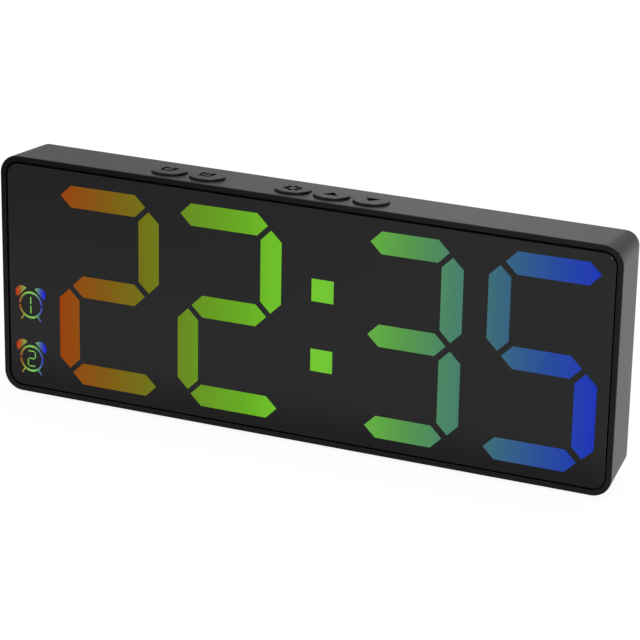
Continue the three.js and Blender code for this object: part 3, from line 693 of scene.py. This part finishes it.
def housing():
    """The shell, drawn round the case from one section, with its key pockets and holes"""
    profile = soften([
        (LENS_SEAT, BAY_INSET, 0), (LENS_SEAT, RIM_WIDTH, 0), (0, RIM_WIDTH, RIM_ROUND),
        (0, 0, EDGE_ROUND), (CASE_DEPTH, DRAFT, EDGE_ROUND),
        (CASE_DEPTH, REBATE_INSET, INNER_ROUND), (COVER_SEAT, REBATE_INSET, 0),
        (COVER_SEAT, REAR_BAY_INSET, 0), (SHELF_BACK, REAR_BAY_INSET, 0),
        (SHELF_BACK, SHELF_INSET, INNER_ROUND), (BOARD_BACK, SHELF_INSET, INNER_ROUND),
        (BOARD_BACK, BAY_INSET, 0)], looped=True)
    shell = tube("housing_shell", [case_ring(*point) for point in profile], looped=True)
    combine(shell, "DIFFERENCE", [key_pocket(KEYS[:2]), key_pocket(KEYS[2:])])
    combine(shell, "DIFFERENCE", [key_hole(key) for key in KEYS])
    smooth(shell)
    paint_faces(shell, (FINISHES["case_plastic"], CASE_FACE_PAINTED_SHADE, CASE_GROOVE_PAINTED_SHADE), housing_finish)
    finish_piece(shell, "case_plastic", "case", nodes=["front_housing"])


def housing_finish(polygon):
    """Which of the housing's materials a face has: 0 outside, 1 on the rim with painted shade, 2 in the
    groove with near-black painted shade
    """
    depth = polygon.center.y - FRONT
    if depth > LENS_SEAT + EDGE_ROUND:
        return 0
    side = abs(polygon.center.x) - (CASE_WIDTH / 2 - RIM_WIDTH)
    end = abs(polygon.center.z - CASE_BOTTOM - CASE_HEIGHT / 2) - (CASE_HEIGHT / 2 - RIM_WIDTH)
    if depth > RIM_ROUND and max(side, end) < RIM_ROUND:
        return 2
    return 1 if polygon.normal.y < -RIM_LEAN else 0


def lens_finish(polygon):
    """Which of the lens's materials a face has: 1 where its round edge turns right, 0 elsewhere"""
    normal = polygon.normal
    least, most = LENS_EDGE_LEANS
    rounded = -most < normal.y < -least
    return 1 if rounded and normal.x > max(LENS_EDGE_SIDE * normal.z, least) else 0


def lens():
    """The front panel, moved a little down and to the right in its pocket"""
    inset = RIM_WIDTH + LENS_GAP
    low, high = LENS_RECESS, LENS_RECESS + LENS_THICKNESS
    profile = soften([(low, inset + 2 * LENS_ROUND, 0), (low, inset, LENS_ROUND), (high, inset, 0)])
    piece = tube("lens_panel", [case_ring(*point) for point in profile])
    for vertex in piece.data.vertices:
        if vertex.co.z > CASE_BOTTOM + CASE_HEIGHT / 2:
            vertex.co.z -= LENS_DROP
        if vertex.co.x < 0:
            vertex.co.x += LENS_SHIFT
    smooth(piece)
    paint_faces(piece, (FINISHES["lens_acrylic"], LENS_EDGE), lens_finish)
    finish_piece(piece, "lens_acrylic", "case", nodes=["front_lens"])


# Lit shapes

def hexagon(tip0, tip1, across, stroke, upright):
    """A straight stroke with a point at each end"""
    half = stroke / 2
    points = [(tip0, across), (tip0 + half, across + half), (tip1 - half, across + half),
              (tip1, across), (tip1 - half, across - half), (tip0 + half, across - half)]
    return [(side, along) if upright else (along, side) for along, side in points]


def segment(letter, centre, long_ends):
    """The outline of one of the seven segments, named a to g as is usual"""
    if letter in "adg":
        ends = []
        for side in (-1, 1):
            reach = LONG_REACH if long_ends.get(letter) == side else -TIP_GAP
            ends.append(centre + ROW_SHIFTS[letter] + side * (DIGIT_HALF + reach))
        return hexagon(*ends, ROW_LEVELS[letter], ROW_STROKE, False)
    side = 1 if letter in "bc" else -1
    low, high = ("g", "a") if letter in "bf" else ("d", "g")
    return hexagon(ROW_LEVELS[low] + TIP_GAP, ROW_LEVELS[high] - TIP_GAP,
                   centre + side * DIGIT_HALF, COLUMN_STROKE, True)


def spread(outline):
    """The digits grow slightly taller towards the right, as they do in the photo"""
    return [(x, z * (1 + DISPLAY_SPREAD * (x - SPREAD_MIDDLE))) for x, z in outline]


def lit_piece(name, outlines, material):
    """Thin lit shapes on the front of the lens, as one piece"""
    start = LENS_RECESS - GLOW_PROUD
    parts = [prism(name, outline, start, LENS_RECESS + GLOW_PROUD) for outline in outlines]
    made = bmesh.new()
    for part in parts:
        made.from_mesh(part.data)
    for part in parts[1:]:
        bpy.data.objects.remove(part)
    piece = parts[0]
    made.to_mesh(piece.data)
    made.free()
    return finish_piece(piece, "diffuser_film", "case", material)


def arc(radius, start, stop, centre=(0, 0), steps=ARC_STEPS):
    """Points along an arc, from one angle in degrees to another"""
    points = []
    for i in range(steps + 1):
        angle = math.radians(start + (stop - start) * i / steps)
        points.append((centre[0] + radius * math.cos(angle), centre[1] + radius * math.sin(angle)))
    return points


def bar(start, stop, width):
    """A straight stroke between two points"""
    (x0, z0), (x1, z1) = start, stop
    length = math.hypot(x1 - x0, z1 - z0)
    u, v = (z1 - z0) / length * width / 2, (x1 - x0) / length * width / 2
    return [(x0 + u, z0 - v), (x1 + u, z1 - v), (x1 - u, z1 + v), (x0 - u, z0 + v)]


def bell_clock(number, dial_parts, stroke):
    """Outlines of a twin-bell alarm clock, in millimetres about the middle of its dial"""
    shapes = []
    for low, high in dial_parts:
        outer = arc(DIAL_RADIUS + stroke / 2, low, high)
        inner = arc(DIAL_RADIUS - stroke / 2, high, low)
        shapes.append([(a * DIAL_SQUEEZE, b) for a, b in outer + inner])
    for side in (-1, 1):
        lean = 90 - side * BELL_LEAN
        bell, top, foot = ((side * a, b) for a, b in (BELL_PLACE, LEG_TOP, LEG_FOOT))
        shapes.append(arc(BELL_RADIUS, lean - 90, lean + 90, bell, BELL_STEPS))
        shapes.append(bar(top, foot, stroke * LEG_STROKE_SHARE))
    shapes += [bar(*ends, stroke * NUMBER_STROKE_SHARE) for ends in NUMBERS[number]]
    return shapes


def display():
    """The time, the colon and the two alarm symbols"""
    for i, (value, centre, long_ends) in enumerate(DIGITS):
        outlines = [spread(segment(letter, centre, long_ends)) for letter in LIT[value]]
        lit_piece(f"digit_{i + 1}", outlines, DIGIT_GLOW)
    half = COLON_SIZE / 2
    squares = [[(COLON_X + a * half, z + b * half) for a, b in ((-1, -1), (1, -1), (1, 1), (-1, 1))]
               for z in COLON_LEVELS]
    lit_piece("colon", squares, DIGIT_GLOW)
    for number, z in zip("12", ICON_LEVELS):
        outlines = [[(ICON_X + a * MM, z + b * MM) for a, b in shape]
                    for shape in bell_clock(number, DIAL_PARTS[number], DIAL_STROKE)]
        lit_piece(f"alarm_{number}_symbol", outlines, ICON_GLOW)


# Keys

def engraving(name, outline, centre):
    """A tool that sinks an outline of (across, back) points into a key's face"""
    rings = []
    for z in (KEY_PROUD - ENGRAVING, 2 * KEY_PROUD):
        rings.append([centre + Vector((a * MM, b * MM, z)) for a, b in outline])
    return shear(tube(name, rings), centre.y, SLOPE)


def hollow_engraving(name, outer, inner, centre):
    """The same for a shape with a hole in it"""
    rings = []
    for outline, z in ((outer, KEY_PROUD - ENGRAVING), (outer, 2 * KEY_PROUD),
                       (inner, 2 * KEY_PROUD), (inner, KEY_PROUD - ENGRAVING)):
        rings.append([centre + Vector((a * MM, b * MM, z)) for a, b in outline])
    return shear(tube(name, rings, looped=True), centre.y, SLOPE)


def gear_outline():
    """Teeth that narrow from root to tip, with half widths as shares of the step between teeth"""
    points = []
    for tooth in range(GEAR_TEETH):
        for radius, share in ((GEAR_ROOT, -GEAR_ROOT_SHARE), (GEAR_TIP, -GEAR_TIP_SHARE),
                              (GEAR_TIP, GEAR_TIP_SHARE), (GEAR_ROOT, GEAR_ROOT_SHARE)):
            angle = 2 * math.pi * (tooth + share) / GEAR_TEETH
            points.append((radius * math.cos(angle), radius * math.sin(angle)))
    return points


def engravings(key, centre):
    """Tools for the symbol on a key: a bell clock, a gear or an arrow"""
    if key in ("alarm_1", "alarm_2"):
        (share_a, share_b), (shift_a, shift_b) = CLOCK_SHARES, CLOCK_SHIFT
        shapes = bell_clock(key[-1], CLOCK_DIAL, CLOCK_STROKE)
        outlines = [[(share_a * a + shift_a, share_b * b + shift_b) for a, b in shape]
                    for shape in shapes]
        return [engraving("sunk", outline, centre) for outline in outlines]
    if key == "settings":
        hole = arc(GEAR_HOLE, 0, 360, steps=4 * GEAR_TEETH)[:-1]
        return [hollow_engraving("sunk", gear_outline(), hole, centre)]
    way = 1 if key == "up" else -1
    arrow = [(-ARROW_HALF, -ARROW_BASE * way), (ARROW_HALF, -ARROW_BASE * way), (0, ARROW_POINT * way)]
    return [engraving("sunk", arrow, centre)]


def key_finish(polygon, centre):
    """Which of a key's materials a face has: 0 on its face, 1 round its side with painted shade, 2 in the
    symbol with near-black painted shade
    """
    offset = polygon.center - centre
    if math.hypot(offset.x, offset.y) > KEY_RADIUS - KEY_EDGE_BAND:
        return 0 if polygon.normal.z > KEY_FACE_LEAN else 1
    sunk = offset.z + SLOPE * offset.y < KEY_PROUD - LEVEL_TOLERANCE
    return 2 if sunk else 0


def cap(key):
    """A key with its flange and its sunk symbol"""
    low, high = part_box(f"{key}_button")
    centre = key_centre(key)
    bottom = low.z - centre.z + FLANGE_THICKNESS / 2
    profile = soften([(KEY_RADIUS, bottom, 0), (KEY_RADIUS, KEY_PROUD, KEY_ROUND),
                      (KEY_RADIUS - 2 * KEY_ROUND, KEY_PROUD, 0)])
    piece = shear(turned(f"{key}_cap", profile, centre, "Z"), centre.y, SLOPE)
    flange = block("flange", low, Vector((high.x, high.y, low.z + FLANGE_THICKNESS)))
    combine(piece, "UNION", [flange])
    combine(piece, "DIFFERENCE", engravings(key, centre))
    smooth(piece)
    paint_faces(piece, (FINISHES["button_plastic"], KEY_SIDE_PAINTED_SHADE, KEY_SUNK_PAINTED_SHADE),
                lambda polygon: key_finish(polygon, centre))
    finish_piece(piece, "button_plastic", f"{key}_key", nodes=[f"{key}_button"])


# Pieces that keep the shape of their node

def refined(node, bevel, material=None):
    """Copies a node's shape into a piece with softened edges"""
    piece = bpy.data.objects.new(f"{node}_soft", frame["nodes"][node].data.copy())
    bpy.context.scene.collection.objects.link(piece)
    edited(piece, weld)
    edited(piece, lambda made: bmesh.ops.dissolve_limit(
        made, angle_limit=FLAT, verts=made.verts, edges=made.edges))
    piece.data.materials.clear()
    smooth(piece, bevel)
    return finish_piece(piece, SLOT_OF[node], BODY_OF[node], material, [node])


# Screws and cell

def cross(piece, centre, arm, half, top, depth):
    """Sinks a cross into the top of a turned piece"""
    tools = []
    for a, b in ((arm, half), (half, arm)):
        low, high = (centre + Vector((side * a, top + side * depth, side * b)) for side in (-1, 1))
        tools.append(block("cross", low, high))
    combine(piece, "DIFFERENCE", tools)


def screw(node):
    """A pan-head screw with a cross recess, in the place of a plainer one"""
    low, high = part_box(node)
    shank, head, height = SCREW_SHANK, SCREW_HEAD, SCREW_HEAD_HEIGHT
    centre = Vector(((low.x + high.x) / 2, high.y - height, (low.z + high.z) / 2))
    length = centre.y - low.y
    profile = soften([
        (shank * SHANK_END_SHARE, -length, 0), (shank, -length + shank, 0), (shank, 0, 0),
        (head, 0, HEAD_SEAT_ROUND), (head, height * HEAD_WALL_SHARE, HEAD_WALL_ROUND),
        (head * HEAD_TOP_SHARE, height, HEAD_TOP_ROUND), (head * HEAD_END_SHARE, height, 0)])
    piece = turned(f"{node}_head", profile, centre, segments=SCREW_SEGMENTS)
    cross(piece, centre, head * CROSS_ARM_SHARE, CROSS_HALF, height, height * CROSS_DEPTH_SHARE)
    piece.data.materials.clear()
    finish_piece(smooth(piece), "screw_steel", BODY_OF[node], nodes=[node])


def cell_finish(polygon, centre, thickness):
    """Which of the cell's materials a face has: 1 in the plus sign, 0 elsewhere"""
    offset = polygon.center - centre
    inside = math.hypot(offset.x, offset.z) < 2 * PLUS_ARM
    sunk = LEVEL_TOLERANCE < thickness - offset.y < 2 * PLUS_DEPTH
    return 1 if inside and sunk else 0


def coin_cell():
    """The cell, stepped in at its back and with a plus sign sunk into its face"""
    low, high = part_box("coin_cell")
    centre = Vector(((low.x + high.x) / 2, low.y, (low.z + high.z) / 2))
    radius, thickness = (high.x - low.x) / 2, high.y - low.y
    step = radius - CELL_STEP
    profile = soften([
        (radius * CELL_END_SHARE, 0, 0), (step, 0, CELL_ROUND), (step, CELL_STEP_LOW, 0),
        (radius, CELL_STEP_HIGH, CELL_ROUND), (radius, thickness, CELL_TOP_ROUND),
        (radius * CELL_END_SHARE, thickness, 0)])
    piece = turned("cell_can", profile, centre)
    cross(piece, centre, PLUS_ARM, PLUS_HALF, thickness, PLUS_DEPTH)
    smooth(piece)
    paint_faces(piece, (FINISHES["cell_steel"], CELL_MARK),
                lambda polygon: cell_finish(polygon, centre, thickness))
    finish_piece(piece, "cell_steel", "case", nodes=["coin_cell"])


# Stage

def world():
    """Even light on the clock, and plain white for rays that show the background"""
    made = bpy.data.worlds.new("studio")
    bpy.context.scene.world = made
    made.use_nodes = True
    tree = made.node_tree
    tree.nodes.clear()
    path = tree.nodes.new("ShaderNodeLightPath")
    shown = seen_directly(tree, path)
    ambient = tree.nodes.new("ShaderNodeBackground")
    ambient.inputs["Color"].default_value = (1, 1, 1, 1)
    ambient.inputs["Strength"].default_value = AMBIENT
    white = tree.nodes.new("ShaderNodeBackground")
    white.inputs["Color"].default_value = (1, 1, 1, 1)
    mix = tree.nodes.new("ShaderNodeMixShader")
    output = tree.nodes.new("ShaderNodeOutputWorld")
    tree.links.new(shown, mix.inputs["Fac"])
    tree.links.new(ambient.outputs["Background"], mix.inputs[1])
    tree.links.new(white.outputs["Background"], mix.inputs[2])
    tree.links.new(mix.outputs["Shader"], output.inputs["Surface"])


def seen_directly(tree, path):
    """1 for rays that show the background itself: from the camera, mirrored or passed through"""
    total = path.outputs["Is Camera Ray"]
    for name in ("Is Glossy Ray", "Is Transmission Ray"):
        largest = tree.nodes.new("ShaderNodeMath")
        largest.operation = "MAXIMUM"
        tree.links.new(total, largest.inputs[0])
        tree.links.new(path.outputs[name], largest.inputs[1])
        total = largest.outputs["Value"]
    return total


def paper(paint, scale, tones):
    """Clouds of two grey tones, as linear values"""
    stops = zip(NOISE_BAND, [(tone, tone, tone, 1) for tone in tones])
    return paint.ramp(paint.noise(scale), list(stops))


def floor():
    """Pale paper that keeps the clock's shadow and fades to white around it"""
    corners = [(-FLOOR_REACH, -FLOOR_REACH), (FLOOR_REACH, -FLOOR_REACH),
               (FLOOR_REACH, FLOOR_REACH), (-FLOOR_REACH, FLOOR_REACH)]
    piece = add_object("studio_floor", [(x, y, 0) for x, y in corners], [(0, 1, 2, 3)])
    paint = Paint("floor_paper")
    tree = paint.tree
    tone = paper(paint, FLOOR_CLOUDS, FLOOR_TONES)
    paint.link(tone, paint.shader.inputs["Base Color"])
    paint.shader.inputs["Roughness"].default_value = 0.9
    paint.shader.inputs["Specular IOR Level"].default_value = 0.0
    white = paint.node("ShaderNodeEmission")
    white.inputs["Strength"].default_value = 1.0
    path = paint.node("ShaderNodeLightPath")
    distance = paint.node("ShaderNodeVectorMath", operation="LENGTH")
    paint.link(paint.place, distance.inputs[0])
    fade = paint.node("ShaderNodeMapRange")
    for socket, value in FLOOR_FADE.items():
        fade.inputs[socket].default_value = value
    paint.link(distance.outputs["Value"], fade.inputs["Value"])
    scale = paint.node("ShaderNodeMath", operation="MULTIPLY")
    paint.link(seen_directly(tree, path), scale.inputs[0])
    paint.link(fade.outputs["Result"], scale.inputs[1])
    mix = paint.node("ShaderNodeMixShader")
    paint.link(scale.outputs["Value"], mix.inputs["Fac"])
    paint.link(paint.shader.outputs["BSDF"], mix.inputs[1])
    paint.link(white.outputs["Emission"], mix.inputs[2])
    paint.link(mix.outputs["Shader"], tree.nodes["Material Output"].inputs["Surface"])
    piece.data.materials.append(paint.material)


def lamp(name, direction, distance, size, watts):
    """A soft square lamp that faces the clock"""
    data = bpy.data.lights.new(name, "AREA")
    data.size = size
    data.energy = watts
    obj = bpy.data.objects.new(name, data)
    way = Vector(direction).normalized()
    obj.location = Vector((0, 0, CASE_HEIGHT / 2)) + way * distance
    obj.rotation_euler = way.to_track_quat("Z", "Y").to_euler()
    obj.visible_camera = False
    bpy.context.scene.collection.objects.link(obj)


def card():
    """A grey card behind the clock, which the camera sees only in reflections"""
    corners = [(-CARD_HALF, CARD_DEPTH, CARD_LOW), (CARD_HALF, CARD_DEPTH, CARD_LOW),
               (CARD_HALF, CARD_DEPTH, CARD_HIGH), (-CARD_HALF, CARD_DEPTH, CARD_HIGH)]
    piece = add_object("studio_card", corners, [(0, 1, 2, 3)])
    paint = Paint("card_paper")
    paint.shader.inputs["Base Color"].default_value = (CARD_BASE, CARD_BASE, CARD_BASE, 1)
    paint.link(paper(paint, CARD_CLOUDS, CARD_TONES), paint.shader.inputs["Emission Color"])
    paint.shader.inputs["Emission Strength"].default_value = 1.0
    piece.data.materials.append(paint.material)
    piece.visible_camera = False
    piece.visible_shadow = False
    piece.visible_transmission = False


def camera():
    """The photo's view, to the right of the clock's front and from above"""
    data = bpy.data.cameras.new("photo_camera")
    data.sensor_width = SENSOR_WIDTH
    data.lens = CAMERA_LENS
    data.clip_start = NEAREST
    obj = bpy.data.objects.new("photo_camera", data)
    turn = (Matrix.Rotation(CAMERA_AZIMUTH, 4, "Z")
            @ Matrix.Rotation(math.pi / 2 - CAMERA_ELEVATION, 4, "X")
            @ Matrix.Rotation(CAMERA_ROLL, 4, "Z"))
    obj.matrix_world = Matrix.Translation(CAMERA_PLACE) @ turn
    bpy.context.scene.collection.objects.link(obj)
    bpy.context.scene.camera = obj


def build():
    """Every visible piece, on the body that carries it"""
    paint_nodes()
    housing()
    lens()
    display()
    for key in KEYS:
        cap(key)
    for node in ("rear_cover", "battery_door"):
        refined(node, COVER_EDGE, COVER_PLASTIC)
    for node, bevel in SOFT_EDGES.items():
        refined(node, bevel)
    for node in SLOT_NODES["foot_rubber"]:
        refined(node, FOOT_EDGE)
    for i in range(1, 5):
        screw(f"cover_screw_{i}")
        screw(f"module_screw_{i}")
    coin_cell()


def studio():
    """Floor, light and camera"""
    bpy.context.scene.view_settings.view_transform = "Standard"
    world()
    floor()
    for name, values in LAMPS.items():
        lamp(name, **values)
    card()
    camera()


build()
studio()
